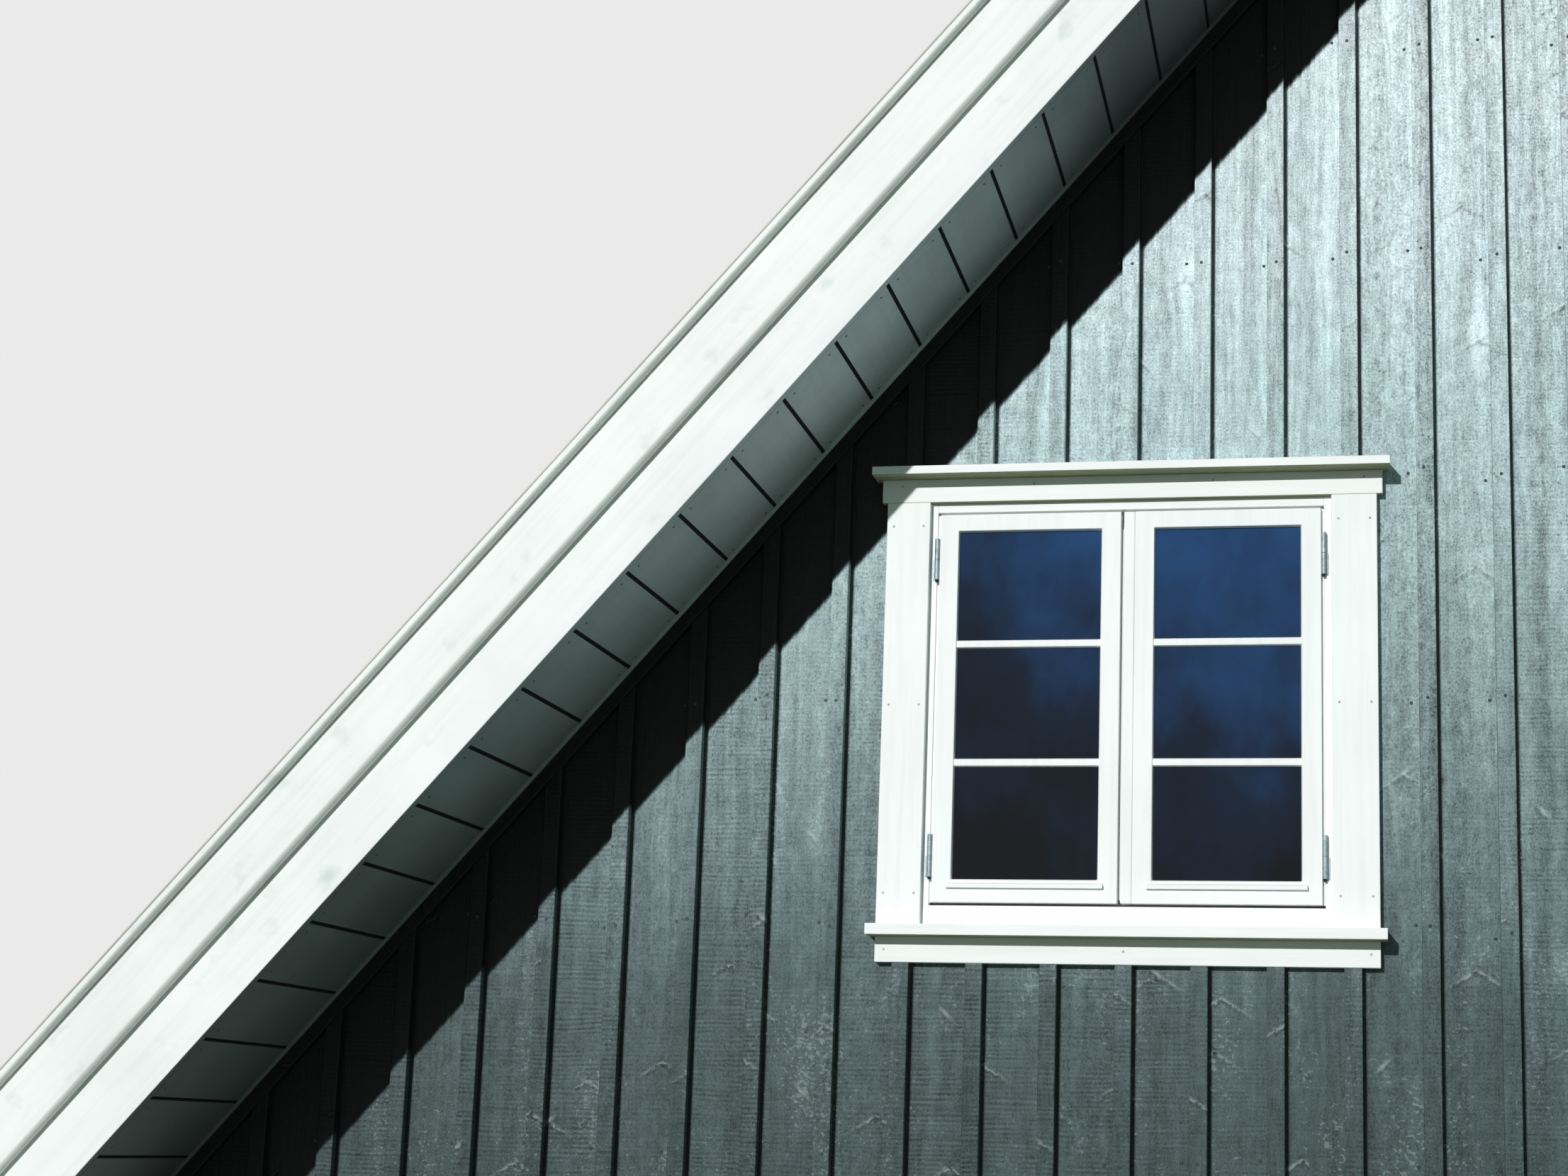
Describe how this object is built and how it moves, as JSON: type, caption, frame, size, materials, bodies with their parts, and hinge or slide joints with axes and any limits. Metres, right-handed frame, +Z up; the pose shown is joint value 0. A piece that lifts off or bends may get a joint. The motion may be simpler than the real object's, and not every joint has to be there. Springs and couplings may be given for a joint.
{
  "type": "timber gable front with casement windows",
  "caption": "Timber gable front with board-and-batten cladding, a deep boarded verge and white outward-opening casement windows with casings, drip caps and sills.",
  "frame": {"origin": "on the level ground line, in the middle of the piece's width and depth", "axes": "+X along the wall to the right as seen from outside, +Y from outside to the room, +Z up"},
  "size_m": [7.668, 0.772, 4.3796],
  "materials": {
    "bare_timber": "planed, untreated",
    "dark_stained_timber": "rough sawn, dark grey stain, weathered",
    "grey_painted_timber": "matt paint",
    "white_painted_timber": "half-gloss paint",
    "lining_board": "matt paint",
    "roof_covering": "gritted felt",
    "window_glass": "clear, sealed double glazing",
    "galvanised_steel": "galvanised"
  },
  "bodies": {
    "root": {"wall_foot": "bare_timber", "wall_left": "bare_timber", "wall_middle": "bare_timber", "wall_right": "bare_timber", "wall_top": "bare_timber", "inner_lining": "lining_board", "cladding_boards": "dark_stained_timber", "cover_battens": "dark_stained_timber", "rake_battens": "dark_stained_timber", "left_soffit": "grey_painted_timber", "right_soffit": "grey_painted_timber", "left_lower_bargeboard": "white_painted_timber", "right_lower_bargeboard": "white_painted_timber", "left_upper_bargeboard": "white_painted_timber", "right_upper_bargeboard": "white_painted_timber", "left_verge_cap": "white_painted_timber", "right_verge_cap": "white_painted_timber", "verge_ladders": "bare_timber", "left_roof_deck": "bare_timber", "right_roof_deck": "bare_timber", "roof_felt": "roof_covering", "left_window_jambs": "white_painted_timber", "right_window_jambs": "white_painted_timber", "left_window_rails": "white_painted_timber", "right_window_rails": "white_painted_timber", "left_window_outer_sash": "white_painted_timber", "right_window_outer_sash": "white_painted_timber", "left_window_inner_sash": "white_painted_timber", "right_window_inner_sash": "white_painted_timber", "left_window_side_casings": "white_painted_timber", "right_window_side_casings": "white_painted_timber", "left_window_head_casing": "white_painted_timber", "right_window_head_casing": "white_painted_timber", "left_window_drip_cap": "white_painted_timber", "right_window_drip_cap": "white_painted_timber", "left_window_sill": "white_painted_timber", "right_window_sill": "white_painted_timber", "left_window_apron": "white_painted_timber", "right_window_apron": "white_painted_timber", "window_glass": "window_glass", "window_hinges": "galvanised_steel", "meeting_strips": "white_painted_timber", "glazing_drips": "white_painted_timber", "reveal_sides": "white_painted_timber", "reveal_heads": "white_painted_timber", "window_boards": "white_painted_timber", "window_latches": "galvanised_steel"}
  },
  "joints": []
}
